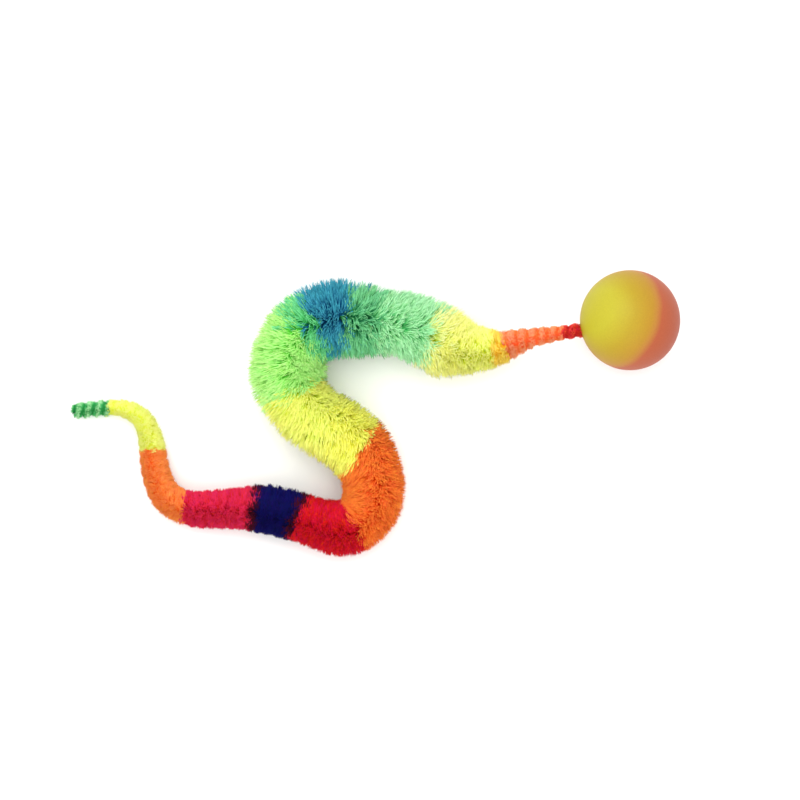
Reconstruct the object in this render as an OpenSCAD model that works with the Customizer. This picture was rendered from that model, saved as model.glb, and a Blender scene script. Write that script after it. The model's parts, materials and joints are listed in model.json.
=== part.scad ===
// Worm pet toy: a long chenille tail, fixed by its thin end in a two-colour rubber ball.
// The tail lies in its resting bends, on the surface that the ball stands on.
// Its flexible core is built as short rigid lengths, hinged where one band of pile meets the next.

/* [Ball] */
// Diameter of the ball
ball_d = 32; // [26:0.5:60]
// Distance from the ball's centre to the colour seam, towards the orange side
seam_offset = -2.5; // [-3:0.5:4]
// How far the seam's axis dips below level, in degrees
seam_dip = 40; // [-60:1:60]
// Compass turn of the seam's axis, in degrees from +X
seam_turn = -16; // [-40:1:40]
// Compass turn of the bore that holds the tail, in degrees from +X
bore_turn = 192; // [170:1:210]
// Diameter of the bore that holds the tail
bore_d = 3.2; // [3:0.1:5]
// Depth of that bore
bore_depth = 10; // [8:0.5:12]

/* [Core] */
// Diameter of the twisted core
core_d = 1.6; // [1:0.1:2]
// Diameter of the knot on the core's end, inside the ball
knot_d = 2.9; // [2:0.1:2.9]
// Length of the glue round the core, from the ball's mouth
glue_len = 5.5; // [3:0.5:6]
// Clearance round the core and round the glue, on each side
grip_gap = 0.05; // [0.02:0.01:0.1]

/* [Hinges] */
// Space left between two lengths at a hinge
hinge_gap = 0.3; // [0.1:0.05:0.5]
// How far each face at a hinge leans back, in degrees
hinge_lean = 17; // [8:1:24]
// How far the face at the ball leans back, in degrees
mouth_lean = 36; // [10:1:45]

/* [Band lengths] */
// Red band, at the ball
red_len = 5.5; // [4:0.5:10]
// Orange band on the neck
neck_len = 19; // [12:0.5:30]
// Amber band
amber_len = 3; // [2:0.5:6]
// Front lime band
lime_front_len = 18; // [14:0.5:30]
// Mint band
mint_len = 28.5; // [16:0.5:40]
// Blue band
blue_len = 13.5; // [11:0.5:24]
// Green band
green_len = 26; // [25:0.5:40]
// Middle lime band
lime_middle_len = 29.5; // [20:0.5:40]
// Middle orange band
orange_middle_len = 27.5; // [24:0.5:40]
// Front crimson band
crimson_front_len = 20.5; // [16:0.5:32]
// Navy band
navy_len = 13; // [9:0.5:24]
// Rear crimson band
crimson_rear_len = 22.5; // [14:0.5:34]
// Orange band on the tail
orange_tail_len = 23; // [18:0.5:34]
// Lime band on the tail
lime_tail_len = 21; // [12:0.5:32]
// Green tip
green_tip_len = 13; // [8:0.5:20]

/* [Thickness over the pile] */
// At the ball
mouth_d = 4.2; // [3:0.1:6]
// Where red meets orange
red_end_d = 4.6; // [3:0.1:7]
// Where orange meets amber
neck_end_d = 10.4; // [5:0.1:13]
// Where amber meets lime
amber_end_d = 12.4; // [6:0.1:15]
// Where lime meets mint
lime_front_end_d = 22; // [12:0.5:26]
// Where mint meets blue
mint_end_d = 23.5; // [14:0.5:26]
// Where blue meets green
blue_end_d = 23.5; // [14:0.5:26]
// Where green meets lime
green_end_d = 23.5; // [14:0.5:26]
// Where lime meets the middle orange
lime_middle_end_d = 20.5; // [12:0.5:24]
// Where orange meets crimson
orange_middle_end_d = 18; // [10:0.5:20]
// Where crimson meets navy
crimson_front_end_d = 17; // [8:0.5:20]
// Where navy meets crimson
navy_end_d = 15.4; // [8:0.1:18]
// Where crimson meets the tail's orange
crimson_rear_end_d = 11.8; // [6:0.1:14]
// Where orange meets the tail's lime
orange_tail_end_d = 8.4; // [4:0.1:12]
// Where lime meets the green tip
lime_tail_end_d = 5.2; // [3:0.1:8]
// At the tip
green_tip_end_d = 5.4; // [3:0.1:8]

/* [Resting bends: turn of each band's first and second half in degrees, left is positive] */
// Compass heading of the tail as it leaves the ball
mouth_heading = 188; // [180:1:200]
// Red band
red_bend = [0, 0]; // [-20:1:20]
// Orange band on the neck
neck_bend = [2, 12]; // [-30:1:30]
// Amber band
amber_bend = [-8, -8]; // [-12:1:12]
// Front lime band
lime_front_bend = [-16, -10]; // [-30:1:30]
// Mint band
mint_bend = [6, 6]; // [-30:1:30]
// Blue band
blue_bend = [10, 22]; // [-22:1:22]
// Green band
green_bend = [50, 48]; // [-50:1:50]
// Middle lime band
lime_middle_bend = [30, -20]; // [-40:1:40]
// Middle orange band
orange_middle_bend = [-42, -62]; // [-62:1:62]
// Front crimson band
crimson_front_bend = [-44, 0]; // [-48:1:48]
// Navy band
navy_bend = [4, 4]; // [-20:1:20]
// Rear crimson band
crimson_rear_bend = [8, -4]; // [-40:1:40]
// Orange band on the tail
orange_tail_bend = [-66, -16]; // [-70:1:70]
// Lime band on the tail
lime_tail_bend = [34, 54]; // [-80:1:80]
// Green tip
green_tip_bend = [0, 8]; // [-40:1:40]

/* [Hidden] */
// One row for each band, from the ball to the tip: its name, length, thickness at its far end, resting
// bend, whether it hinges on the band before it, and its colour.
BANDS = [
  ["red", red_len, red_end_d, red_bend, true, "#C4202C"],
  ["orange_neck", neck_len, neck_end_d, neck_bend, true, "#FF6A30"],
  ["amber", amber_len, amber_end_d, amber_bend, false, "#FFB830"],
  ["lime_front", lime_front_len, lime_front_end_d, lime_front_bend, true, "#E4F84A"],
  ["mint", mint_len, mint_end_d, mint_bend, true, "#7FDC92"],
  ["blue", blue_len, blue_end_d, blue_bend, true, "#1C6AA8"],
  ["green", green_len, green_end_d, green_bend, true, "#86EC5C"],
  ["lime_middle", lime_middle_len, lime_middle_end_d, lime_middle_bend, true, "#E4F84A"],
  ["orange_middle", orange_middle_len, orange_middle_end_d, orange_middle_bend, true, "#FF7430"],
  ["crimson_front", crimson_front_len, crimson_front_end_d, crimson_front_bend, true, "#D0103A"],
  ["navy", navy_len, navy_end_d, navy_bend, true, "#1F0B70"],
  ["crimson_rear", crimson_rear_len, crimson_rear_end_d, crimson_rear_bend, true, "#D4144A"],
  ["orange_tail", orange_tail_len, orange_tail_end_d, orange_tail_bend, true, "#FF7430"],
  ["lime_tail", lime_tail_len, lime_tail_end_d, lime_tail_bend, true, "#E4F03C"],
  ["green_tip", green_tip_len, green_tip_end_d, green_tip_bend, true, "#34B060"]
];
LAST = len(BANDS) - 1;
// The neck hangs from the bore down to this many bands from the ball, and the rest lies on the surface.
NECK_BANDS = 4;
PILE_SIDES = 16;
CORE_SIDES = 10;
RING_STEP = 3.2;
TIP_COVER = 1;

ball_r = ball_d / 2;
$fn = 96;

// ---- The line that the core follows, seen from above ----

function band_len(i) = BANDS[i][1];
function bend_of(i) = BANDS[i][3];
function heading_at(i) = i == 0 ? mouth_heading : heading_at(i - 1) + bend_of(i - 1)[0] + bend_of(i - 1)[1];

// The way along an arc of length run that starts at a heading and turns by turn degrees.
function arc_run(heading, turn, run) =
  abs(turn) < 0.001
    ? run * [cos(heading), sin(heading)]
    : run * 180 / (turn * PI) * [sin(heading + turn) - sin(heading), cos(heading) - cos(heading + turn)];

// The way along band i from its near end to the share u of its length.
function band_run(i, u) =
  let (first = bend_of(i)[0], second = bend_of(i)[1], start = heading_at(i), run = band_len(i))
  u <= 0.5
    ? arc_run(start, 2 * u * first, run * u)
    : arc_run(start, first, run / 2) + arc_run(start + first, (2 * u - 1) * second, run * (u - 0.5));

function heading_in(i, u) =
  heading_at(i) + (u <= 0.5 ? 2 * u * bend_of(i)[0] : bend_of(i)[0] + (2 * u - 1) * bend_of(i)[1]);

// Near end of band i, with the ball's centre at [0, 0].
function joint_at(i) =
  i == 0 ? (ball_r + hinge_gap / 2) * [cos(bore_turn), sin(bore_turn)] : joint_at(i - 1) + band_run(i - 1, 1);

// ---- Thickness of the pile and height of the core ----

function thick_at(i) = i == 0 ? mouth_d : BANDS[i - 1][2];
function neck_run(i) = i == 0 ? 0 : neck_run(i - 1) + band_len(i - 1);
function height_at(i) =
  let (rest = thick_at(NECK_BANDS) / 2)
  i > NECK_BANDS
    ? thick_at(i) / 2
    : max(thick_at(i) / 2, ball_r + (rest - ball_r) * neck_run(i) / neck_run(NECK_BANDS));

function radius_in(i, u) = (thick_at(i) + (thick_at(i + 1) - thick_at(i)) * u) / 2;
function height_in(i, u) = height_at(i) + (height_at(i + 1) - height_at(i)) * u;

// ---- Rings of points across the tail ----

function ring(i, u, r, sides) =
  let (centre = joint_at(i) + band_run(i, u), heading = heading_in(i, u))
  [
    for (k = [0 : sides - 1])
      let (turn = 360 * k / sides - 90)
      [
        centre[0] - r * cos(turn) * sin(heading),
        centre[1] + r * cos(turn) * cos(heading),
        height_in(i, u) + r * sin(turn)
      ]
  ];

function ring_count(i) = max(2, 2 * ceil(band_len(i) / RING_STEP / 2));
function shares(i, last) = [for (k = [0 : ring_count(i)]) last * k / ring_count(i)];

// Joins ring number a to ring number a + 1, where rings of n points start at point first.
function skin(first, a, n, outward) = [
  for (k = [0 : n - 1])
    let (p = first + a * n + k, q = first + a * n + (k + 1) % n)
    each outward ? [[p, p + n, q + n], [p, q + n, q]] : [[p, q + n, p + n], [p, q, q + n]]
];

// A closed rod along band i, as far as the share last of its length.
module rod(i, r, sides, last) {
  stations = shares(i, last);
  count = len(stations);
  polyhedron(
    points = [for (u = stations) each ring(i, u, r, sides)],
    faces = concat(
      [[for (k = [0 : sides - 1]) k]],
      [for (a = [0 : count - 2]) each skin(0, a, sides, true)],
      [[for (k = [sides - 1 : -1 : 0]) (count - 1) * sides + k]]
    )
  );
}

// A sleeve of pile along band i, with the core's channel through it.
module sleeve(i, channel_r, sides) {
  stations = shares(i, 1);
  count = len(stations);
  inner = count * sides;
  far = (count - 1) * sides;
  polyhedron(
    points = concat(
      [for (u = stations) each ring(i, u, radius_in(i, u), sides)],
      [for (u = stations) each ring(i, u, channel_r, sides)]
    ),
    faces = concat(
      [for (a = [0 : count - 2]) each skin(0, a, sides, true)],
      [for (a = [0 : count - 2]) each skin(inner, a, sides, false)],
      [
        for (k = [0 : sides - 1])
          let (next = (k + 1) % sides)
          each [
            [k, next, inner + next, inner + k],
            [far + next, far + k, inner + far + k, inner + far + next]
          ]
      ]
    )
  );
}

// ---- Hinge faces ----

// Cuts a band back to two leaning faces at joint i, so that it can swing about the upright axis there.
// side is 1 for the band after the joint and -1 for the band before it. The faces reach past the inner
// side of the tightest bend, so that they leave no loose sliver there.
module lean_cut(i, side, lean) {
  reach = thick_at(i);
  pivot = joint_at(i);
  ridge = hinge_gap / 2;
  edge = ridge + reach * tan(lean);
  translate([pivot[0], pivot[1], -1])
    rotate(heading_at(i) + (side > 0 ? 0 : 180))
      linear_extrude(height = ball_d + 2)
        polygon([[-1, reach], [-1, -reach], [edge, -reach], [ridge, 0], [edge, reach]]);
}

module hinge_cuts(i) {
  if (BANDS[i][4])
    lean_cut(i, 1, i == 0 ? mouth_lean : hinge_lean);
  if (i < LAST && BANDS[i + 1][4])
    lean_cut(i + 1, -1, hinge_lean);
}

// ---- Sub-parts, with the ball's centre over [0, 0] ----

module ball_blank() {
  translate([0, 0, ball_r])
    sphere(r = ball_r);
}

// Everything on the orange side of the colour seam.
module orange_side() {
  translate([0, 0, ball_r])
    rotate([0, 0, seam_turn])
      rotate([0, 90 + seam_dip, 0])
        translate([-ball_d, -ball_d, seam_offset])
          cube([2 * ball_d, 2 * ball_d, 2 * ball_d]);
}

// Lays its children along the bore: their Z starts at the ball's mouth and runs inwards.
module along_bore() {
  translate([ball_r * cos(bore_turn), ball_r * sin(bore_turn), ball_r])
    rotate([0, 0, bore_turn])
      rotate([0, -90, 0])
        children();
}

module ball_yellow() {
  color("#DDCB3C")
    difference() {
      ball_blank();
      orange_side();
      along_bore()
        translate([0, 0, -1])
          cylinder(d = bore_d, h = bore_depth + 1);
    }
}

module ball_orange() {
  color("#D8694C")
    intersection() {
      ball_blank();
      orange_side();
    }
}

// The core's end: a straight length in the bore, with a knot that the glue holds back.
module core_knot() {
  knot_at = bore_depth - knot_d / 2 - 2 * grip_gap;
  color("#B01C28")
    along_bore() {
      translate([0, 0, hinge_gap])
        cylinder(d = core_d, h = knot_at - hinge_gap);
      translate([0, 0, knot_at])
        sphere(d = knot_d);
    }
}

module glue_plug() {
  color("#E8E4D0")
    along_bore()
      translate([0, 0, hinge_gap])
        difference() {
          cylinder(d = bore_d - 2 * grip_gap, h = glue_len);
          translate([0, 0, -1])
            cylinder(d = core_d + 2 * grip_gap, h = glue_len + 2);
        }
}

module pile(i) {
  color(BANDS[i][5])
    difference() {
      sleeve(i, core_d / 2 + grip_gap, PILE_SIDES);
      hinge_cuts(i);
    }
}

module core(i) {
  last = i == LAST ? 1 - TIP_COVER / band_len(i) : 1;
  color("#8C3A2E")
    difference() {
      rod(i, core_d / 2, CORE_SIDES, last);
      hinge_cuts(i);
    }
}

// ---- The whole, moved so that the middle of its base is the origin ----

OUTLINE = [
  for (i = [0 : LAST], u = shares(i, 1)) each ring(i, u, radius_in(i, u), PILE_SIDES)
];
LOW = [min([for (p = OUTLINE) p[0]]), min(-ball_r, min([for (p = OUTLINE) p[1]]))];
HIGH = [ball_r, max(ball_r, max([for (p = OUTLINE) p[1]]))];
BASE = [(LOW[0] + HIGH[0]) / 2, (LOW[1] + HIGH[1]) / 2, 0];

module placed() {
  translate(-BASE)
    children();
}

placed() ball_yellow();
placed() ball_orange();
placed() core_knot();
placed() glue_plug();
for (i = [0 : LAST]) placed() pile(i);
for (i = [0 : LAST]) placed() core(i);
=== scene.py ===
import json
import math

import bmesh
import bpy
import numpy as np
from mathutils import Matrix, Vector

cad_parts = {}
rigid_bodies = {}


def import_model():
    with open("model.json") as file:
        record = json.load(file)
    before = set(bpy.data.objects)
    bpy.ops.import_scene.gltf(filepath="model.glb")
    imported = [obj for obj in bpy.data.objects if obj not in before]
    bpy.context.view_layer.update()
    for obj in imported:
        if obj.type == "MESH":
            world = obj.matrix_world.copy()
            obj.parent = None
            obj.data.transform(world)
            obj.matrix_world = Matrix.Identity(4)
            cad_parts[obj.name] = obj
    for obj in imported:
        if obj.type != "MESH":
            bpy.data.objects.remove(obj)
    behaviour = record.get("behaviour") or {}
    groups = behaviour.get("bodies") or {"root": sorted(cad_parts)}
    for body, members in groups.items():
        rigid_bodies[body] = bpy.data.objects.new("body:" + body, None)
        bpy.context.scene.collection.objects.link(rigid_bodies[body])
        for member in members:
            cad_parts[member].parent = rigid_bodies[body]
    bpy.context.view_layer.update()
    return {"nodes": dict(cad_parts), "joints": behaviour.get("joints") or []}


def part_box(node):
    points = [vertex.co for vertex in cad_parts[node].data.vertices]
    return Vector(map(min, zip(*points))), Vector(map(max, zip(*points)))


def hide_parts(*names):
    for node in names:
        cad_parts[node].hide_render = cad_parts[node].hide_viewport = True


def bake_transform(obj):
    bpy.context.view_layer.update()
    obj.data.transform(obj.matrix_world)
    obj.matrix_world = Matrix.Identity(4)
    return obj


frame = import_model()
mm = 0.001
print("frame loaded:", len(frame["nodes"]), "nodes")


# small helpers

def linear(hexColour):
    # sRGB hex to the linear colour that the shaders want
    channels = [int(hexColour[i:i + 2], 16) / 255 for i in (1, 3, 5)]
    return [c / 12.92 if c <= 0.04045 else ((c + 0.055) / 1.055) ** 2.4 for c in channels] + [1.0]


def addNode(tree, kind, settings=None, values=None, links=None):
    # one node with its settings, its plain socket values and what feeds its sockets
    node = tree.nodes.new(kind)
    for key, value in (settings or {}).items():
        setattr(node, key, value)
    for key, value in (values or {}).items():
        node.inputs[key].default_value = value
    for key, source in (links or {}).items():
        tree.links.new(source, node.inputs[key])
    return node


def newMaterial(name):
    material = bpy.data.materials.new(name)
    material.use_nodes = True
    material.node_tree.nodes.clear()
    return material, material.node_tree


def setStops(ramp, stops):
    # stops are (place, hex) pairs, lowest place first
    elements = ramp.color_ramp.elements
    while len(elements) < len(stops):
        elements.new(0.5)
    for element, (place, colour) in zip(elements, stops):
        element.position = place
        element.color = linear(colour)


# the line that the core follows

tail = dict(
    mouthHeading=188,    # degrees from +X, as the tail leaves the ball
    mouthThick=4.2,      # mm over the pile at the ball
    neckBands=4,         # the neck comes down to the surface over this many bands
    ballRadius=16,       # mm
    step=0.25,           # mm between the stations of the line
    soften=2.5,          # mm over which the changes of thickness are rounded off
)

# length and thickness at the far end in mm, turn of the first and second half in degrees
bands = [
    dict(name="red", length=5.5, thick=4.6, bend=(0, 0)),
    dict(name="orange_neck", length=19, thick=10.4, bend=(2, 12)),
    dict(name="amber", length=3, thick=12.4, bend=(-8, -8)),
    dict(name="lime_front", length=18, thick=22, bend=(-16, -10)),
    dict(name="mint", length=28.5, thick=23.5, bend=(6, 6)),
    dict(name="blue", length=13.5, thick=23.5, bend=(10, 22)),
    dict(name="green", length=26, thick=23.5, bend=(50, 48)),
    dict(name="lime_middle", length=29.5, thick=20.5, bend=(30, -20)),
    dict(name="orange_middle", length=27.5, thick=18, bend=(-42, -62)),
    dict(name="crimson_front", length=20.5, thick=17, bend=(-44, 0)),
    dict(name="navy", length=13, thick=15.4, bend=(4, 4)),
    dict(name="crimson_rear", length=22.5, thick=11.8, bend=(8, -4)),
    dict(name="orange_tail", length=23, thick=8.4, bend=(-66, -16)),
    dict(name="lime_tail", length=21, thick=5.2, bend=(34, 54)),
    dict(name="green_tip", length=13, thick=5.4, bend=(0, 8)),
]


def layLine():
    # stations of the whole tail: run from the ball, place, heading and radius, in mm and radians
    starts = np.concatenate([[0], np.cumsum([b["length"] for b in bands])])
    knotRun, knotTurn = [0.0], [math.radians(tail["mouthHeading"])]
    for b, at in zip(bands, starts):
        for k in (0, 1):
            knotRun.append(at + b["length"] * (k + 1) / 2)
            knotTurn.append(knotTurn[-1] + math.radians(b["bend"][k]))
    run = np.arange(0, starts[-1] + tail["step"] / 2, tail["step"])
    heading = np.interp(run, knotRun, knotTurn)
    middle = (heading[1:] + heading[:-1]) / 2
    first = frame["joints"][0]["pos_m"]
    x = first[0] / mm + np.concatenate([[0], np.cumsum(np.cos(middle))]) * tail["step"]
    y = first[1] / mm + np.concatenate([[0], np.cumsum(np.sin(middle))]) * tail["step"]
    thick = [tail["mouthThick"]] + [b["thick"] for b in bands]
    radius = np.interp(run, starts, thick) / 2
    neckEnd, neckRadius = starts[tail["neckBands"]], thick[tail["neckBands"]] / 2
    height = tail["ballRadius"] + (neckRadius - tail["ballRadius"]) * run / neckEnd
    height = np.where(run < neckEnd, np.maximum(height, radius), radius)
    width = int(tail["soften"] / tail["step"])
    kernel = np.hanning(2 * width + 3)[1:-1]
    kernel /= kernel.sum()
    soft = lambda a: np.convolve(np.pad(a, width, "reflect", reflect_type="odd"), kernel, "valid")
    return dict(run=run, x=x, y=y, z=soft(height), heading=heading, radius=soft(radius), starts=starts)


line = layLine()
tailEnd = float(line["starts"][-1])


def along(key, run):
    return np.interp(run, line["run"], line[key])


def frameAt(run):
    # centre, forward, left and up directions at each run
    run = np.asarray(run, float)
    centre = np.stack([along("x", run), along("y", run), along("z", run)], -1)
    slope = (along("z", run + 0.5) - along("z", run - 0.5))
    heading = along("heading", run)
    forward = np.stack([np.cos(heading), np.sin(heading), slope], -1)
    forward /= np.linalg.norm(forward, axis=-1, keepdims=True)
    left = np.stack([-np.sin(heading), np.cos(heading), np.zeros_like(heading)], -1)
    up = np.cross(forward, left)
    return centre, forward, left, up


# materials

# Chenille pile: crimped polyester fibre, cut and space-dyed, and no two fibres took quite the same amount of
# dye. Each dye
# has three colours: a darker one at the root, painted shade deep in the pile, its own colour in the body,
# and a paler one at the cut tip, painted light on the tips.
dyes = dict(
    red=dict(shadedRoot="#AC120E", body="#DA261E", tip="#F65848"),
    orangeNeck=dict(shadedRoot="#F05018", body="#F97A38", tip="#FFB084"),
    amber=dict(shadedRoot="#FFB01C", body="#FFCE2C", tip="#FFE668"),
    limeFront=dict(shadedRoot="#E8FF1C", body="#F4FF30", tip="#FFFF98"),
    limeMint=dict(shadedRoot="#CCF850", body="#F0FF70", tip="#FBFFB0"),
    mint=dict(shadedRoot="#0C7038", body="#58D074", tip="#C0FCC0"),
    teal=dict(shadedRoot="#065C3E", body="#309C60", tip="#84DC98"),
    blue=dict(shadedRoot="#032E6C", body="#0A6494", tip="#44AABC"),
    springGreen=dict(shadedRoot="#169040", body="#44C468", tip="#7CE29A"),
    green=dict(shadedRoot="#34C830", body="#80F854", tip="#CCFF98"),
    limeMiddle=dict(shadedRoot="#E0FF20", body="#ECFF2C", tip="#FCFF84"),
    yellowMiddle=dict(shadedRoot="#FAFF18", body="#FFFF24", tip="#FFFF78"),
    orangeMiddle=dict(shadedRoot="#FF4402", body="#FF6212", tip="#FF8A38"),
    crimson=dict(shadedRoot="#A80210", body="#D40416", tip="#E6122E"),
    plum=dict(shadedRoot="#1C000E", body="#3C0018", tip="#500622"),
    navy=dict(shadedRoot="#020030", body="#030044", tip="#080462"),
    rose=dict(shadedRoot="#AC0216", body="#D80824", tip="#EC305E"),
    orangeTail=dict(shadedRoot="#FF6414", body="#FF7E28", tip="#FF9850"),
    limeTail=dict(shadedRoot="#E4EC30", body="#EEF648", tip="#F8FA90"),
    greenTip=dict(shadedRoot="#0C682C", body="#42BC62", tip="#C8F8C0"),
)

pileFinish = dict(
    ior=1.57,            # polyester
    roughness=0.62,      # crimped fibre: soft highlights
    specular=0.08,       # light is lost between the fibres, so little is mirrored
    patch=3.0,           # mm between patches that took more or less dye
    patchDepth=0.04,     # how much darker the darkest patch is
    fibreSpread=0.08,    # how much darker the darkest fibre is
    hueSpread=0.012,     # how far single fibres stray in hue
    stops=dict(shadedRoot=0.15, body=0.6, tip=1.0),   # where along a fibre each of its colours lies
)


def makeDyedPile(name, dye):
    # dyed polyester pile: the eye gets a darker root, which is painted shade, a paler cut tip, which is
    # painted light, and soft patches of uneven dye
    material, tree = newMaterial("dyedPile_" + name)
    rootTip = addNode(tree, "ShaderNodeAttribute", {"attribute_name": "rootTip"})
    fibre = addNode(tree, "ShaderNodeAttribute", {"attribute_name": "fibreTint"})
    # the colour along a fibre: darker at the root, painted shade deep in the pile, and paler at the cut tip,
    # painted light
    shadeAlongFibre = addNode(tree, "ShaderNodeValToRGB", links={"Fac": rootTip.outputs["Fac"]})
    setStops(shadeAlongFibre, [(place, dye[part]) for part, place in pileFinish["stops"].items()])
    place = addNode(tree, "ShaderNodeTexCoord")
    patches = addNode(tree, "ShaderNodeTexNoise",
                      values={"Scale": 1 / (pileFinish["patch"] * mm), "Detail": 2.0},
                      links={"Vector": place.outputs["Object"]})
    patchValue = addNode(tree, "ShaderNodeMapRange",
                         values={"From Min": 0.3, "From Max": 0.7, "To Min": 1 - pileFinish["patchDepth"],
                                 "To Max": 1.0},
                         links={"Value": patches.outputs["Fac"]})
    fibreValue = addNode(tree, "ShaderNodeMapRange",
                         values={"To Min": 1 - pileFinish["fibreSpread"], "To Max": 1.0},
                         links={"Value": fibre.outputs["Fac"]})
    value = addNode(tree, "ShaderNodeMath", {"operation": "MULTIPLY"},
                    links={0: patchValue.outputs["Result"], 1: fibreValue.outputs["Result"]})
    hue = addNode(tree, "ShaderNodeMapRange",
                  values={"To Min": 0.5 - pileFinish["hueSpread"], "To Max": 0.5 + pileFinish["hueSpread"]},
                  links={"Value": fibre.outputs["Fac"]})
    dyed = addNode(tree, "ShaderNodeHueSaturation",
                   links={"Color": shadeAlongFibre.outputs["Color"], "Value": value.outputs[0],
                          "Hue": hue.outputs["Result"]})
    shader = addNode(tree, "ShaderNodeBsdfPrincipled",
                     values={"IOR": pileFinish["ior"], "Roughness": pileFinish["roughness"],
                             "Specular IOR Level": pileFinish["specular"]},
                     links={"Base Color": dyed.outputs["Color"]})
    addNode(tree, "ShaderNodeOutputMaterial", links={"Surface": shader.outputs["BSDF"]})
    return material


dyeNames = list(dyes)
pileMaterials = [makeDyedPile(name, dyes[name]) for name in dyeNames]

# How far each dye reaches along the tail, in mm from the ball, in the order that they come. bleed is how
# far single tufts of it stray over the edge, slant how much further it reaches on the tail's left side.
dyeRuns = [
    ("red", 5.6, 0.25, 0), ("orangeNeck", 24.3, 0.4, 0), ("amber", 28.5, 0.5, 0),
    ("limeFront", 48.3, 1.8, 1), ("limeMint", 52.8, 1.6, 1), ("mint", 68.2, 1.8, 0),
    ("teal", 77.0, 1.3, 2.0), ("blue", 85.6, 1.0, -1.5), ("springGreen", 91.0, 1.6, 0),
    ("green", 112.2, 1.4, 0), ("limeMiddle", 129.0, 3.5, 0), ("yellowMiddle", 141.2, 0.9, -2.4),
    ("orangeMiddle", 170.4, 0.6, 0), ("crimson", 189.2, 0.8, 1.2), ("plum", 191.2, 0.7, 1.2),
    ("navy", 202.6, 0.6, 0), ("plum", 205.0, 0.6, 0), ("rose", 226.6, 0.3, 0),
    ("orangeTail", 249.4, 0.25, 0), ("limeTail", 271.4, 0.3, 0), ("greenTip", 290.0, 0.3, 0),
]
dyeEdges, dyeBleeds, dyeSlants = (np.array([row[k] for row in dyeRuns]) for k in (1, 2, 3))
dyeOrder = np.array([dyeNames.index(row[0]) for row in dyeRuns])


def dyeAt(run, turn, rng):
    # the dye of a tuft rooted at that run and that turn round the core
    near = np.clip(np.searchsorted(dyeEdges, run), 1, len(dyeEdges) - 1)
    near -= run - dyeEdges[near - 1] < dyeEdges[near] - run
    moved = run + rng.normal(0, 1, run.shape) * dyeBleeds[near] - dyeSlants[near] * np.cos(turn)
    return dyeOrder[np.clip(np.searchsorted(dyeEdges, moved), 0, len(dyeEdges) - 1)]


# pile

# How the pile grows along the tail. Each row holds from its run onwards, and values in between are
# blended: tuft is the spacing of tufts in mm, fibres how many fibres a tuft has, width a fibre's
# thickness in mm, ragged how uneven the lengths are, clump how far a tuft gathers at its tip, lean how far
# it slants along the tail, comb how far it is swept round the tail and part how far it is turned away from
# the spine, both in degrees, wave how much it curls, lump how far the twisted ends swell.
# A real fibre is about 0.03 mm thick, too fine to show, so fibres are drawn as the locks that the eye sees.
pileKeys = ("run", "tuft", "fibres", "width", "ragged", "clump", "lean", "comb", "part", "wave", "lump")
pileRows = [
    (0, 0.55, 7, 0.17, 0.08, 0.40, 0.05, 12, 0, 0.16, 0.18),
    (20, 0.60, 7, 0.17, 0.10, 0.42, 0.05, 12, 0, 0.20, 0.13),
    (27, 0.80, 9, 0.19, 0.10, 0.38, 0.00, 20, 0, 0.26, 0.04),
    (40, 1.15, 11, 0.21, 0.12, 0.48, -0.30, 26, 2, 0.32, 0),
    (50, 1.30, 12, 0.22, 0.14, 0.58, -0.45, 10, 12, 0.36, 0),
    (60, 1.40, 13, 0.22, 0.16, 0.68, -0.50, 3, 18, 0.40, 0),
    (71, 1.40, 13, 0.22, 0.16, 0.68, -0.40, 2, 18, 0.40, 0),
    (81, 1.40, 14, 0.22, 0.14, 0.62, 0.00, 2, 14, 0.36, 0),
    (90, 1.40, 14, 0.22, 0.13, 0.60, 0.18, 8, 14, 0.36, 0),
    (98, 1.40, 14, 0.22, 0.12, 0.55, 0.15, 20, 8, 0.36, 0),
    (113, 1.35, 14, 0.22, 0.12, 0.50, 0.15, 32, 3, 0.36, 0),
    (140, 1.35, 14, 0.22, 0.12, 0.50, 0.20, 32, 3, 0.36, 0),
    (155, 1.20, 13, 0.22, 0.10, 0.52, 0.10, 12, 10, 0.32, 0),
    (172, 0.90, 11, 0.20, 0.09, 0.38, 0.00, 16, 0, 0.30, 0.02),
    (190, 0.85, 11, 0.20, 0.09, 0.38, 0.00, 16, 0, 0.30, 0.035),
    (225, 0.75, 10, 0.19, 0.09, 0.38, 0.00, 16, 0, 0.30, 0.045),
    (249, 0.65, 9, 0.18, 0.09, 0.38, 0.00, 16, 0, 0.28, 0.04),
    (269, 0.55, 8, 0.17, 0.08, 0.38, 0.00, 14, 0, 0.20, 0.04),
    (272, 0.52, 7, 0.16, 0.14, 0.50, 0.05, 12, 0, 0.14, 0.20),
    (284, 0.52, 7, 0.16, 0.14, 0.50, 0.05, 12, 0, 0.14, 0.20),
]
pile = {key: np.array([row[k] for row in pileRows], float) for k, key in enumerate(pileKeys)}

pileShape = dict(
    coreRadius=0.8,      # mm, where the fibres are gripped
    lumpPitch=3.2,       # mm between the lumps of the twisted ends
    lowest=0.12,         # mm, the least height of a fibre over the surface
    spine=90,            # degrees round the core from its left side: the pile parts here, along the top
    underPile=0.76,      # share of the radius filled by the crushed pile round the core
    underLoose=0.28,     # how much of that share is lost for each mm between tufts
    valley=1.9,          # how far a valley of the twist darkens the colour: painted shade in the valley
    softShade=1.1,       # how far a fibre is shaded as part of the whole pile's surface
    mouthLean=0.8,       # mm that the first fibres lean in to the ball's mouth
    stations=(0, 0.5, 0.93, 1),       # shares of a fibre's length where it is drawn
    thickness=(0.8, 1, 0.9, 0),       # its thickness there
)

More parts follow.
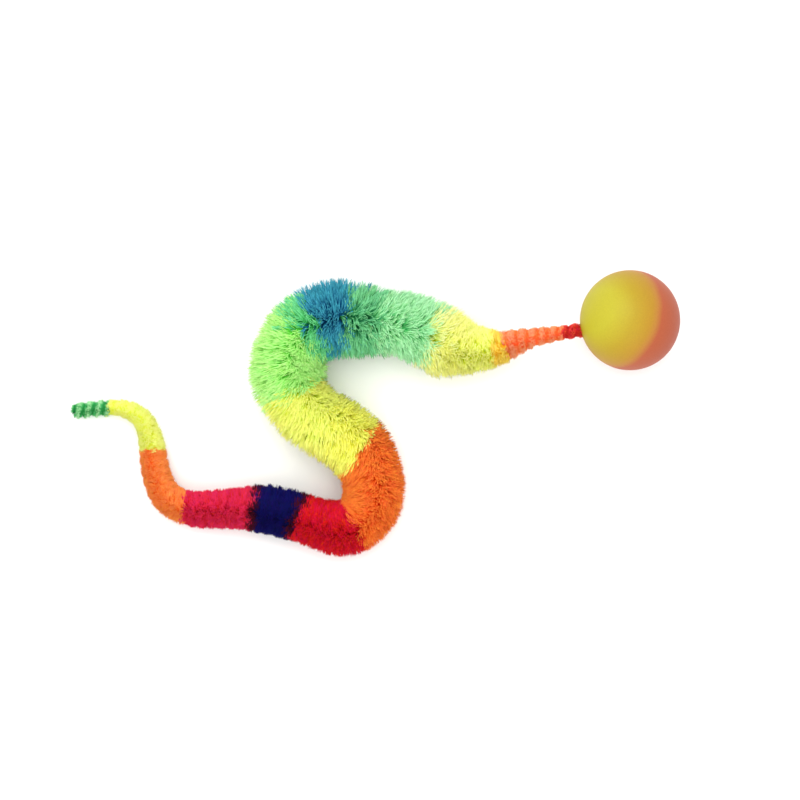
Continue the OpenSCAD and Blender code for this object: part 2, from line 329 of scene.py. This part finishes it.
# how tufts, and single fibres in a tuft, differ from one another
strays = dict(
    cell=0.5,                          # mm, the step in which tufts are planted along the tail
    turn=0.25, run=0.2,                # radians and mm that a tuft stands off its even place
    scatter=0.55,                      # how far a tuft's fibres stand apart, for each mm between tufts
    lengthTuft=0.5, lengthFibre=0.6, lengthMean=0.1, lengthLeast=-2, lengthMost=1.3,
    curlTuft=1.2, curlFibre=0.5,       # radians
    curlLeast=0.5, curlSpread=0.3,
    partMix=0.45, partWidth=0.9,       # how far the two sides mix at the spine, radians that it reaches
    widthLeast=0.85, widthSpread=0.25,
    tintMean=0.5, tintSpread=0.16,
    mouthReach=0.8,                    # mm from the ball over which fibres lean in to its mouth
    floorSoft=0.4, floorEase=0.8,      # mm over the surface where fibres start to flatten, and how gently
)

# the sleeve of crushed pile that fills the middle, coloured between the darker root colour and the body
# colour: painted shade deep in the pile
sleeve = dict(step=0.8, sides=24, start=0.3, end=2.4, grip=1.15, rootTip=0.3, tint=0.4)

# each fibre has its own cell in the texture layout
layout = dict(cellShape=7, across=0.8, upward=0.86, gap=0.9, capPlace=0.999)


# how full the pile stands on the tail's left and on its right, against the nominal radius, from each run on
fullness = np.array([
    (0, 0.88, 1.05), (9, 0.76, 0.86), (15, 0.68, 0.78), (21, 0.86, 0.81), (27, 0.89, 0.93),
    (36, 0.92, 0.82), (45, 0.96, 0.88), (49, 0.97, 0.92), (56, 0.86, 0.95), (63, 0.73, 0.91),
    (70, 0.86, 0.80), (77, 1.00, 0.95), (91, 1.04, 0.85), (97, 1.06, 0.82), (104, 1.07, 0.91),
    (110, 0.88, 0.94), (117, 0.80, 0.94), (125, 0.83, 1.01), (139, 0.91, 1.04), (150, 0.82, 1.08),
    (160, 0.87, 1.07), (167, 0.90, 0.98), (174, 0.96, 0.97), (181, 0.83, 0.97), (188, 0.76, 0.97),
    (201, 0.83, 1.04), (208, 0.83, 0.89), (215, 0.92, 0.82), (223, 0.98, 0.75), (230, 0.87, 0.94),
    (238, 0.77, 1.01), (253, 0.88, 1.10), (260, 0.62, 1.25), (267, 0.84, 1.02), (274, 0.83, 0.74),
    (284, 0.96, 0.62),
]).T


def grown(key, run):
    return np.interp(run, pile["run"], pile[key])


def lumpAt(run, turn):
    # the twisted ends swell and shrink along a helix
    wave = 2 * np.abs(np.cos(math.pi * run / pileShape["lumpPitch"] + turn / 2)) - 1
    return grown("lump", run) * wave


def plantTufts(low, high, rng):
    # even spread of tufts over the surface between two runs: their run and their turn round the core
    cell = strays["cell"]
    cells = np.arange(low, high, cell)
    middle = np.minimum(cells + cell / 2, high)
    wide = np.minimum(cells + cell, high) - cells
    count = 2 * math.pi * along("radius", middle) * wide / grown("tuft", middle) ** 2
    total = int(count.sum())
    share = (np.arange(total) + 0.5) / total * count.sum()
    run = np.interp(share, np.concatenate([[0], np.cumsum(count)]), np.concatenate([cells, [high]]))
    goldenTurn = np.arange(total) * math.pi * (3 - math.sqrt(5))
    turn = goldenTurn + rng.normal(0, strays["turn"], total)
    return run + rng.normal(0, strays["run"], total), turn % (2 * math.pi)


def fibrePaths(low, high, rng):
    # the middle line, thickness and tints of every fibre rooted between two runs
    tuftRun, tuftTurn = plantTufts(low, high, rng)
    fibres = grown("fibres", tuftRun)
    each = np.floor(fibres + rng.random(len(fibres))).astype(int)
    owner = np.repeat(np.arange(len(tuftRun)), each)
    n = len(owner)
    run, turn = tuftRun[owner], tuftTurn[owner]
    get = {key: grown(key, run) for key in pileKeys[1:]}
    tuftRand = rng.normal(0, 1, (len(tuftRun), 4))[owner]
    fibreRand = rng.normal(0, 1, (n, 6))
    lump = lumpAt(run, turn)
    radius = along("radius", run) * (1 + lump) * fullAt(run, turn)
    uneven = strays["lengthTuft"] * tuftRand[:, 0] + strays["lengthFibre"] * fibreRand[:, 0]
    uneven = np.clip(uneven + strays["lengthMean"], strays["lengthLeast"], strays["lengthMost"])
    length = radius * (1 + get["ragged"] * uneven)
    spread = strays["scatter"] * get["tuft"]
    runOff, turnOff = fibreRand[:, 1] * spread, fibreRand[:, 2] * spread / radius
    bendAngle = tuftRand[:, 1] * strays["curlTuft"] + fibreRand[:, 3] * strays["curlFibre"]
    bend = get["wave"] * length * (strays["curlLeast"] + strays["curlSpread"] * np.abs(fibreRand[:, 4]))
    fromSpine = (turn - math.radians(pileShape["spine"]) + math.pi) % (2 * math.pi) - math.pi
    side = np.sign(fromSpine + strays["partMix"] * tuftRand[:, 3])
    parted = side * get["part"] * np.exp(-(fromSpine / strays["partWidth"]) ** 2)
    swept = np.radians(get["comb"] + parted)
    overEnd = np.arcsin(np.clip((run - (tailEnd - radius)) / radius, 0, 1))
    paths, widths, outward = [], [], []
    core = pileShape["coreRadius"]
    # the powers of u set how far up a fibre each bend comes in
    for u, w in zip(pileShape["stations"], pileShape["thickness"]):
        gather = 1 - get["clump"] * u ** 0.8
        here = np.clip(run + runOff * gather, 0.1, tailEnd - radius)
        centre, forward, left, up = frameAt(here)
        angle = turn + turnOff * gather + swept * u ** 1.5 + bend * np.sin(bendAngle) * u ** 2 / radius
        out = left * np.cos(angle)[:, None] + up * np.sin(angle)[:, None]
        reach = core + (length - core) * u
        ahead = get["lean"] * length * u ** 1.3 + bend * np.cos(bendAngle) * u ** 2 * 0.5
        ahead -= pileShape["mouthLean"] * np.exp(-run / strays["mouthReach"]) * u
        ahead = ahead * (1 - np.sin(overEnd)) + np.sin(overEnd) * reach
        at = centre + out * (reach * np.cos(overEnd))[:, None] + forward * ahead[:, None]
        floorGap = pileShape["lowest"] + 0.25 * w * get["width"]
        height, soft = at[:, 2], strays["floorSoft"]
        eased = floorGap + soft * np.exp((height - floorGap - soft) / strays["floorEase"])
        at[:, 2] = np.where(height < floorGap + soft, eased, height)
        paths.append(at)
        outward.append(out * np.cos(overEnd)[:, None] + forward * np.sin(overEnd)[:, None])
        uneven = strays["widthLeast"] + strays["widthSpread"] * np.abs(fibreRand[:, 5])
        widths.append(get["width"] * w * uneven)
    tintSpread = strays["tintSpread"]
    tint = strays["tintMean"] + tintSpread * tuftRand[:, 2] + tintSpread * fibreRand[:, 5]
    tint = np.clip(tint, 0, 1)
    dye = dyeAt(tuftRun, tuftTurn, rng)[owner]
    # a fibre in a valley of the twist takes its colour from lower down its root to tip ramp, so it is
    # darker: painted shade in the valley
    valleyShade = 1 - pileShape["valley"] * (get["lump"] - lump)
    return np.stack(paths, 1), np.stack(widths, 1) / 2, np.stack(outward, 1), valleyShade, tint, dye


def fibreMesh(paths, halves, outward, valleyShade, tint, dye, rng):
    # three-sided fibres that taper to a point, closed at the root, as arrays for one mesh
    n, stations, _ = paths.shape
    forward = np.gradient(paths, axis=1)
    forward /= np.linalg.norm(forward, axis=2, keepdims=True) + 1e-9
    guide = rng.normal(0, 1, (n, 1, 3))
    side = np.cross(forward, np.broadcast_to(guide, forward.shape))
    side /= np.linalg.norm(side, axis=2, keepdims=True) + 1e-9
    other = np.cross(forward, side)
    rings, shading = [], []
    for k in range(3):
        a = 2 * math.pi * k / 3
        away = math.cos(a) * side + math.sin(a) * other
        rings.append(paths + halves[..., None] * away)
        shading.append(away + pileShape["softShade"] * outward)
    rings, shading = (np.stack(part, 2)[:, :-1].reshape(n, -1, 3) for part in (rings, shading))
    points = np.concatenate([rings, paths[:, -1:]], 1)
    normals = np.concatenate([shading, outward[:, -1:]], 1)
    normals /= np.linalg.norm(normals, axis=2, keepdims=True) + 1e-9
    per = points.shape[1]
    faces, shares = [], []
    heights = pileShape["stations"]
    for s in range(stations - 2):
        for k in range(3):
            a, b = 3 * s + k, 3 * s + (k + 1) % 3
            faces.append([a, b, b + 3, a + 3])
            shares.append([(k, heights[s]), (k + 1, heights[s]),
                           (k + 1, heights[s + 1]), (k, heights[s + 1])])
    for k in range(3):
        a, b = 3 * (stations - 2) + k, 3 * (stations - 2) + (k + 1) % 3
        faces.append([a, b, per - 1])
        shares.append([(k, heights[-2]), (k + 1, heights[-2]), (k + 0.5, 1.0)])
    faces.append([2, 1, 0])
    shares.append([(0, 0), (1.5, 0.05), (3, 0)])
    rootTip = np.concatenate([np.repeat(heights[:-1], 3), [1.0]])
    return dict(points=points, normals=normals, faces=faces, shares=shares, dye=dye,
                rootTip=rootTip * valleyShade[:, None], tint=np.repeat(tint[:, None], per, 1))


def fullAt(run, turn):
    leftShare = (1 + np.cos(turn)) / 2
    return leftShare * np.interp(run, *fullness[:2]) + (1 - leftShare) * np.interp(run, *fullness[::2])


def underShare(run):
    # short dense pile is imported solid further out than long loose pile
    return pileShape["underPile"] - pileShape["underLoose"] * float(grown("tuft", run))


def underMesh(low, high):
    # the crushed pile round the core, a closed sleeve that fills the middle
    runs = np.linspace(low, high, max(3, int((high - low) / sleeve["step"])))
    sides = sleeve["sides"]
    rings, away = [], []
    for run in runs:
        centre, forward, left, up = frameAt(run)
        reach = max(pileShape["coreRadius"] * sleeve["grip"], float(along("radius", run)) * underShare(run))
        a = np.arange(sides) * 2 * math.pi / sides
        away.append(np.cos(a)[:, None] * left + np.sin(a)[:, None] * up)
        rings.append(centre + reach * away[-1])
    return np.array(rings), np.array(away)


def buildMesh(name, low, high, seed):
    # one piece of pile as a mesh, with the root to tip share and tint of each point
    rng = np.random.default_rng(seed)
    grownFibres = fibreMesh(*fibrePaths(low, high, rng), rng)
    n, per, _ = grownFibres["points"].shape
    rings, away = underMesh(max(low, sleeve["start"]), min(high, tailEnd - sleeve["end"]))
    count, sides, _ = rings.shape
    base = n * per
    points = np.concatenate([grownFibres["points"].reshape(-1, 3), rings.reshape(-1, 3)])
    loops, places = [], []
    columns = max(1, int(math.sqrt(n * layout["cellShape"])))
    lines = math.ceil(n / columns)
    cell = np.stack([np.arange(n) % columns / columns, np.arange(n) // columns / (lines + 1)], -1)
    size = np.array([layout["across"] / columns / 3, layout["upward"] / (lines + 1)])
    for face, share in zip(grownFibres["faces"], grownFibres["shares"]):
        loops.append((np.arange(n)[:, None] * per + np.array(face)).reshape(n, -1))
        places.append(cell[:, None, :] + np.array(share, float)[None] * size)
    order = [np.full(n, len(f)) for f in grownFibres["faces"]]
    flatLoops = np.concatenate([l.reshape(-1) for l in loops])
    flatPlaces = np.concatenate([p.reshape(-1, 2) for p in places])
    sizes = np.concatenate(order)
    materials = np.concatenate([grownFibres["dye"]] * len(grownFibres["faces"]))
    quads, quadPlaces, quadDye = [], [], []
    runs = np.linspace(low, high, count)
    sleeveDye = dyeAt(runs, np.full(count, math.pi / 2), np.random.default_rng(seed + 1))
    top = lines / (lines + 1)
    for r in range(count - 1):
        for k in range(sides):
            q = (k + 1) % sides
            a, b = base + r * sides, base + (r + 1) * sides
            quads.append([a + k, a + q, b + q, b + k])
            u0, u1 = r / count, (r + layout["gap"]) / count
            v0, v1 = (top + at / sides * (1 - top) for at in (k, k + layout["gap"]))
            quadPlaces += [(u0, v0), (u0, v1), (u1, v1), (u1, v0)]
            quadDye.append(sleeveDye[r])
    caps = [[base + k for k in range(sides - 1, -1, -1)],
            [base + (count - 1) * sides + k for k in range(sides)]]
    flatLoops = np.concatenate([flatLoops, np.array(quads).reshape(-1), np.array(caps).reshape(-1)])
    capPlaces = [(layout["capPlace"], top + (1 - top) * k / sides) for k in range(sides)] * 2
    flatPlaces = np.concatenate([flatPlaces, quadPlaces, capPlaces])
    sizes = np.concatenate([sizes, np.full(len(quads), 4), np.full(2, sides)])
    materials = np.concatenate([materials, quadDye, [sleeveDye[0], sleeveDye[-1]]])
    mesh = bpy.data.meshes.new(name)
    mesh.vertices.add(len(points))
    mesh.vertices.foreach_set("co", (points * mm).astype(np.float32).ravel())
    mesh.loops.add(len(flatLoops))
    mesh.loops.foreach_set("vertex_index", flatLoops.astype(np.int32))
    mesh.polygons.add(len(sizes))
    loopStarts = np.concatenate([[0], np.cumsum(sizes)[:-1]])
    mesh.polygons.foreach_set("loop_start", loopStarts.astype(np.int32))
    used = sorted(set(materials.tolist()))
    for dye in used:
        mesh.materials.append(pileMaterials[dye])
    mesh.polygons.foreach_set("material_index", np.searchsorted(used, materials).astype(np.int32))
    mesh.update(calc_edges=True)
    mesh.polygons.foreach_set("use_smooth", np.ones(len(sizes), bool))
    normals = np.concatenate([grownFibres["normals"].reshape(-1, 3), away.reshape(-1, 3)])
    mesh.normals_split_custom_set_from_vertices(normals.astype(np.float32))
    layer = mesh.uv_layers.new(name="OFBake")
    layer.data.foreach_set("uv", flatPlaces.astype(np.float32).ravel())
    # the sleeve takes one place on the ramp between the darker root colour and the body colour: painted
    # shade deep in the pile
    rootTip = np.concatenate([grownFibres["rootTip"].ravel(), np.full(count * sides, sleeve["rootTip"])])
    tint = np.concatenate([grownFibres["tint"].ravel(), np.full(count * sides, sleeve["tint"])])
    for key, values in (("rootTip", rootTip), ("fibreTint", tint)):
        mesh.attributes.new(key, "FLOAT", "POINT").data.foreach_set("value", values.astype(np.float32))
    piece = bpy.data.objects.new(name, mesh)
    bpy.context.scene.collection.objects.link(piece)
    return piece


# twisted core

coreTwist = dict(
    strand=0.42,         # mm, radius of one of the two strands
    orbit=0.36,          # mm, how far each strand's middle is from the core's middle
    pitch=2.6,           # mm for one full turn
    sides=8,
    step=0.3,            # mm between the rings of a strand
    mouthInset=0.1, tipInset=1.2,    # mm that the core stops short of the ball's mouth and of the tip
    fuzz=0.4,            # mm, grain of the yarn
    ior=1.57, roughness=0.75,
)


def makeCoreYarn():
    # two-ply polyester yarn: where it shows at all, the eye gets a dull fuzzy red-brown thread
    material, tree = newMaterial("twistedCoreYarn")
    place = addNode(tree, "ShaderNodeTexCoord")
    fuzz = addNode(tree, "ShaderNodeTexNoise", values={"Scale": 1 / (coreTwist["fuzz"] * mm), "Detail": 3.0},
                   links={"Vector": place.outputs["Object"]})
    tone = addNode(tree, "ShaderNodeValToRGB", links={"Fac": fuzz.outputs["Fac"]})
    setStops(tone, [(0.3, "#6A1E1C"), (0.7, "#A83A30")])
    shader = addNode(tree, "ShaderNodeBsdfPrincipled",
                     values={"IOR": coreTwist["ior"], "Roughness": coreTwist["roughness"]},
                     links={"Base Color": tone.outputs["Color"]})
    addNode(tree, "ShaderNodeOutputMaterial", links={"Surface": shader.outputs["BSDF"]})
    return material


coreYarn = makeCoreYarn()


def buildCore(name, low, high):
    # two strands wound round each other between two runs
    runs = np.arange(low, high + 0.01, coreTwist["step"])
    centre, forward, left, up = frameAt(runs)
    mesh = bmesh.new()
    for strand in (0, 1):
        phase = 2 * math.pi * runs / coreTwist["pitch"] + strand * math.pi
        middle = centre + coreTwist["orbit"] * (np.cos(phase)[:, None] * left + np.sin(phase)[:, None] * up)
        rings = []
        for k in range(len(runs)):
            ring = []
            for j in range(coreTwist["sides"]):
                a = 2 * math.pi * j / coreTwist["sides"]
                at = middle[k] + coreTwist["strand"] * (math.cos(a) * left[k] + math.sin(a) * up[k])
                ring.append(mesh.verts.new(at * mm))
            rings.append(ring)
        for a, b in zip(rings, rings[1:]):
            for j in range(coreTwist["sides"]):
                q = (j + 1) % coreTwist["sides"]
                mesh.faces.new([a[j], a[q], b[q], b[j]])
        mesh.faces.new(rings[0][::-1])
        mesh.faces.new(rings[-1])
    bmesh.ops.recalc_face_normals(mesh, faces=mesh.faces)
    data = bpy.data.meshes.new(name)
    mesh.to_mesh(data)
    mesh.free()
    data.materials.append(coreYarn)
    for polygon in data.polygons:
        polygon.use_smooth = True
    piece = bpy.data.objects.new(name, data)
    bpy.context.scene.collection.objects.link(piece)
    return piece


# the tail, one piece of pile and one of core across each joint

slotOf = dict(red="pile_red", amber="pile_amber", mint="pile_mint", blue="pile_blue", green="pile_green",
              navy="pile_navy", green_tip="pile_green")


def slotFor(name):
    if name in slotOf:
        return slotOf[name]
    return "pile_" + name.split("_")[0]


# random seed of the first piece of pile; the piece at each further joint counts on by one
firstSeed = 40


def buildTail():
    starts = line["starts"]
    names = [b["name"] for b in bands]
    members = dict(ball=[])
    spans = dict(ball=(0.0, 0.0))
    last = "ball"
    for i, name in enumerate(names):
        if name == "amber":
            members[last].append(name)
            spans[last] = (spans[last][0], float(starts[i + 1]))
        else:
            last = name + "_length"
            members[last] = [name]
            spans[last] = (float(starts[i]), float(starts[i + 1]))
    for k, joint in enumerate(frame["joints"]):
        before, after = joint["parent"], joint["child"]
        low = 0.0 if before == "ball" else sum(spans[before]) / 2
        high = tailEnd if k == len(frame["joints"]) - 1 else sum(spans[after]) / 2
        at = spans[after][0]
        centre, forward, _, _ = frameAt(at)
        label = "".join(word.capitalize() for word in members[after][0].split("_"))
        pileNodes = ["pile_" + name for body in (before, after) for name in members[body]]
        coreNodes = ["core_" + name for body in (before, after) for name in members[body]]
        fur = buildMesh("pile" + label, low, high, firstSeed + k)
        yarn = buildCore("core" + label, max(low, coreTwist["mouthInset"]),
                         min(high, tailEnd - coreTwist["tipInset"]))
        for piece, nodes, slot in ((fur, pileNodes, slotFor(members[after][0])),
                                   (yarn, coreNodes, "core_yarn")):
            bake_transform(piece)
            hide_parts(*nodes)
        print("piece", fur.name, len(fur.data.polygons), "faces, run", round(low, 1), "to", round(high, 1))


buildTail()


# ball

ball = dict(
    radius=16,           # mm
    seamDip=40,          # degrees that the seam's axis dips below level
    seamTurn=-16,        # degrees from +X
    # place across the ball along the seam's axis, in mm from its middle, and the colour there: the rubber's
    # yellow and orange run together over the seam, and the colour darkens towards the axis's lower end,
    # which is painted shade
    coloursAndShade=[(-14.5, "#ACA31E"), (-9.9, "#A58A0C"), (-5, "#A67A14"), (-3.4, "#A87024"),
             (-1.2, "#A24C28"), (12, "#963E24")],
    swirl=9, swirlPush=0.8,          # mm, size of the waves in the seam and how far they push it
    grain=0.5, grainDark=0.86, grainLight=1.08,      # mm, and the range of its brightness
    bump=0.4, bumpDepth=0.08,        # strength and mm
    roughness=0.55, ior=1.52, specular=0.3,          # natural rubber
)


def makeBallRubber():
    # moulded natural rubber, tumbled matt: the eye gets two colours that run together at the seam, darker
    # towards the lower end of the seam's axis as painted shade, and a fine dry grain with no shine
    material, tree = newMaterial("mouldedMattRubber")
    dip, turn = math.radians(ball["seamDip"]), math.radians(ball["seamTurn"])
    axis = Vector((math.cos(turn) * math.cos(dip), math.sin(turn) * math.cos(dip), -math.sin(dip)))
    low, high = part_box("ball_orange")
    yellowLow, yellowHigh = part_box("ball_yellow")
    middle = Vector([(min(low[i], yellowLow[i]) + max(high[i], yellowHigh[i])) / 2 for i in range(3)])
    place = addNode(tree, "ShaderNodeTexCoord")
    shifted = addNode(tree, "ShaderNodeVectorMath", {"operation": "SUBTRACT"}, values={1: middle},
                      links={0: place.outputs["Object"]})
    across = addNode(tree, "ShaderNodeVectorMath", {"operation": "DOT_PRODUCT"}, values={1: axis},
                     links={0: shifted.outputs["Vector"]})
    swirl = addNode(tree, "ShaderNodeTexNoise",
                    values={"Scale": 1 / (ball["swirl"] * mm), "Detail": 1.0},
                    links={"Vector": place.outputs["Object"]})
    push = addNode(tree, "ShaderNodeMapRange",
                   values={"To Min": -ball["swirlPush"] * mm, "To Max": ball["swirlPush"] * mm},
                   links={"Value": swirl.outputs["Fac"]})
    reach = addNode(tree, "ShaderNodeMath", {"operation": "ADD"},
                    links={0: across.outputs["Value"], 1: push.outputs["Result"]})
    share = addNode(tree, "ShaderNodeMapRange",
                    values={"From Min": -ball["radius"] * mm, "From Max": ball["radius"] * mm},
                    links={"Value": reach.outputs[0]})
    # yellow to orange over the seam, and darker towards the lower end of the seam's axis: painted shade
    coloursAndShade = addNode(tree, "ShaderNodeValToRGB", links={"Fac": share.outputs["Result"]})
    setStops(coloursAndShade, [((at / ball["radius"] + 1) / 2, colour) for at, colour in ball["coloursAndShade"]])
    grain = addNode(tree, "ShaderNodeTexNoise",
                    values={"Scale": 1 / (ball["grain"] * mm), "Detail": 3.0},
                    links={"Vector": place.outputs["Object"]})
    grainValue = addNode(tree, "ShaderNodeMapRange",
                         values={"To Min": ball["grainDark"], "To Max": ball["grainLight"]},
                         links={"Value": grain.outputs["Fac"]})
    toned = addNode(tree, "ShaderNodeHueSaturation",
                    links={"Color": coloursAndShade.outputs["Color"], "Value": grainValue.outputs["Result"]})
    bump = addNode(tree, "ShaderNodeBump",
                   values={"Strength": ball["bump"], "Distance": ball["bumpDepth"] * mm},
                   links={"Height": grain.outputs["Fac"]})
    shader = addNode(tree, "ShaderNodeBsdfPrincipled",
                     values={"IOR": ball["ior"], "Roughness": ball["roughness"],
                             "Specular IOR Level": ball["specular"]},
                     links={"Base Color": toned.outputs["Color"], "Normal": bump.outputs["Normal"]})
    addNode(tree, "ShaderNodeOutputMaterial", links={"Surface": shader.outputs["BSDF"]})
    return material


glueFinish = dict(ior=1.49, roughness=0.35, cloud=1.5)   # cloud in mm


def makeGlue():
    # hot-melt glue: the eye gets a milky, waxy and faintly cloudy plug
    material, tree = newMaterial("hotMeltGlue")
    place = addNode(tree, "ShaderNodeTexCoord")
    cloud = addNode(tree, "ShaderNodeTexNoise", values={"Scale": 1 / (glueFinish["cloud"] * mm)},
                    links={"Vector": place.outputs["Object"]})
    tone = addNode(tree, "ShaderNodeValToRGB", links={"Fac": cloud.outputs["Fac"]})
    setStops(tone, [(0.3, "#DCD6BC"), (0.7, "#F0EBD8")])
    shader = addNode(tree, "ShaderNodeBsdfPrincipled",
                     values={"IOR": glueFinish["ior"], "Roughness": glueFinish["roughness"]},
                     links={"Base Color": tone.outputs["Color"]})
    addNode(tree, "ShaderNodeOutputMaterial", links={"Surface": shader.outputs["BSDF"]})
    return material


def dressBall():
    rubber, glue = makeBallRubber(), makeGlue()
    for name, material in (("ball_yellow", rubber), ("ball_orange", rubber), ("core_knot", coreYarn),
                           ("glue_plug", glue)):
        node = frame["nodes"][name]
        node.data.materials.clear()
        node.data.materials.append(material)
        print("dressed", name, len(node.data.polygons), "faces")


dressBall()


# floor, light and camera

studio = dict(
    floor="#F6F6F4", floorTooth="#F4F4F2",
    toothScale=60.0, floorHalf=4.0,    # metres from the middle to the floor's edges
    sensor=36, farthest=20,        # mm and metres
    viewMiddle=(8.42, 4.35, 12),   # mm, what the camera looks straight down at
    viewWidth=256,                 # mm across the picture
    distance=1600,                 # mm
    world=1.3,                     # strength of the even light from all round
    bounces=12,
    key=5.5, keySize=900, keyPlace=(-100, 450, 1000),        # watts, mm, mm
    fill=2.2, fillSize=900, fillPlace=(50, -650, 800),
)


def makeFloor():
    # matt paper backdrop: the eye gets an even pale ground with soft shadows
    material, tree = newMaterial("palePaper")
    place = addNode(tree, "ShaderNodeTexCoord")
    tooth = addNode(tree, "ShaderNodeTexNoise", values={"Scale": studio["toothScale"]},
                    links={"Vector": place.outputs["Object"]})
    tone = addNode(tree, "ShaderNodeValToRGB", links={"Fac": tooth.outputs["Fac"]})
    setStops(tone, [(0.0, studio["floorTooth"]), (1.0, studio["floor"])])
    shader = addNode(tree, "ShaderNodeBsdfPrincipled", values={"Roughness": 0.9, "Specular IOR Level": 0.1},
                     links={"Base Color": tone.outputs["Color"]})
    addNode(tree, "ShaderNodeOutputMaterial", links={"Surface": shader.outputs["BSDF"]})
    mesh = bpy.data.meshes.new("floor")
    r = studio["floorHalf"]
    mesh.from_pydata([(-r, -r, 0), (r, -r, 0), (r, r, 0), (-r, r, 0)], [], [(0, 1, 2, 3)])
    mesh.materials.append(material)
    floor = bpy.data.objects.new("floor", mesh)
    bpy.context.scene.collection.objects.link(floor)


def addSoftbox(name, power, size, place):
    light = bpy.data.lights.new(name, "AREA")
    light.shape = "SQUARE"
    light.size = size * mm
    light.energy = power
    lamp = bpy.data.objects.new(name, light)
    lamp.location = Vector(place) * mm
    lamp.rotation_euler = (-Vector(place)).to_track_quat("-Z", "Y").to_euler()
    bpy.context.scene.collection.objects.link(lamp)


def buildStudio():
    makeFloor()
    world = bpy.data.worlds.new("studio")
    world.use_nodes = True
    background = world.node_tree.nodes["Background"]
    background.inputs["Color"].default_value = (1, 1, 1, 1)
    background.inputs["Strength"].default_value = studio["world"]
    bpy.context.scene.world = world
    addSoftbox("key", studio["key"], studio["keySize"], studio["keyPlace"])
    addSoftbox("fill", studio["fill"], studio["fillSize"], studio["fillPlace"])
    data = bpy.data.cameras.new("camera")
    data.sensor_width = studio["sensor"]
    data.lens = studio["sensor"] * studio["distance"] / studio["viewWidth"]
    data.clip_end = studio["farthest"]
    camera = bpy.data.objects.new("camera", data)
    x, y, z = studio["viewMiddle"]
    camera.location = (x * mm, y * mm, (z + studio["distance"]) * mm)
    bpy.context.scene.collection.objects.link(camera)
    bpy.context.scene.camera = camera
    bpy.context.scene.view_settings.view_transform = "Standard"
    # light passes many times between pale fibres
    bpy.context.scene.cycles.diffuse_bounces = studio["bounces"]


buildStudio()
print("studio ready")
